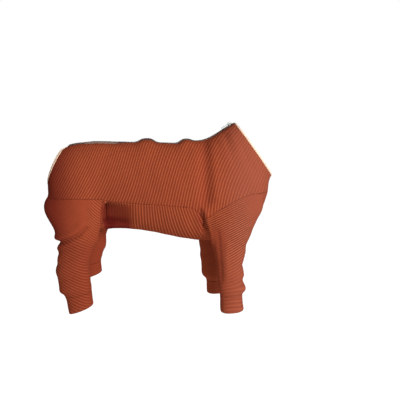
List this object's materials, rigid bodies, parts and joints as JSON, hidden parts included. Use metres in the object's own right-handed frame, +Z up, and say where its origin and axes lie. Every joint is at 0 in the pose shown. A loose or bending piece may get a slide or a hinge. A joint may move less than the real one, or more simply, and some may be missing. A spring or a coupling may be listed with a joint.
{
  "type": "dog jumpsuit",
  "caption": "Full-body jersey jumpsuit for a dog, in worn form: hollow trunk, cuffed sleeves for all legs, zip along the back, pale elastic edging at neck and tail opening.",
  "frame": {"origin": "inner face of the suit's back, about midway along it, where the dog's back carries it", "axes": "+X along the back towards the neck, +Z up from the dog's back, the dog's right side at -Y"},
  "size_m": [0.5721, 0.1756, 0.4791],
  "materials": {
    "jersey": "fine ribbed cotton jersey, rust orange with darker stripes",
    "edging": "matt cream elastic binding",
    "zip_tape": "woven dark grey-brown tape",
    "zip_chain": "dark coil teeth",
    "zip_metal": "bright plated zinc"
  },
  "bodies": {
    "suit": {"back_panel_right": "jersey", "back_panel_left": "jersey", "belly_panel": "jersey", "hind_right_sleeve": "jersey", "hind_right_cuff": "jersey", "hind_left_sleeve": "jersey", "hind_left_cuff": "jersey", "front_right_sleeve": "jersey", "front_right_cuff": "jersey", "front_left_sleeve": "jersey", "front_left_cuff": "jersey", "neck_edging": "edging", "tail_edging": "edging", "zip_tape_right": "zip_tape", "zip_tape_left": "zip_tape", "zip_chain": "zip_chain", "zip_slider": "zip_metal"},
    "pull": {"zip_pull": "zip_metal"}
  },
  "joints": [
    {"name": "pull_swing", "type": "hinge", "parent": "suit", "child": "pull", "pos_m": [0.23616, 0, 0.05125], "axis": [0, 1, 0], "range_deg": [0, 150]}
  ]
}
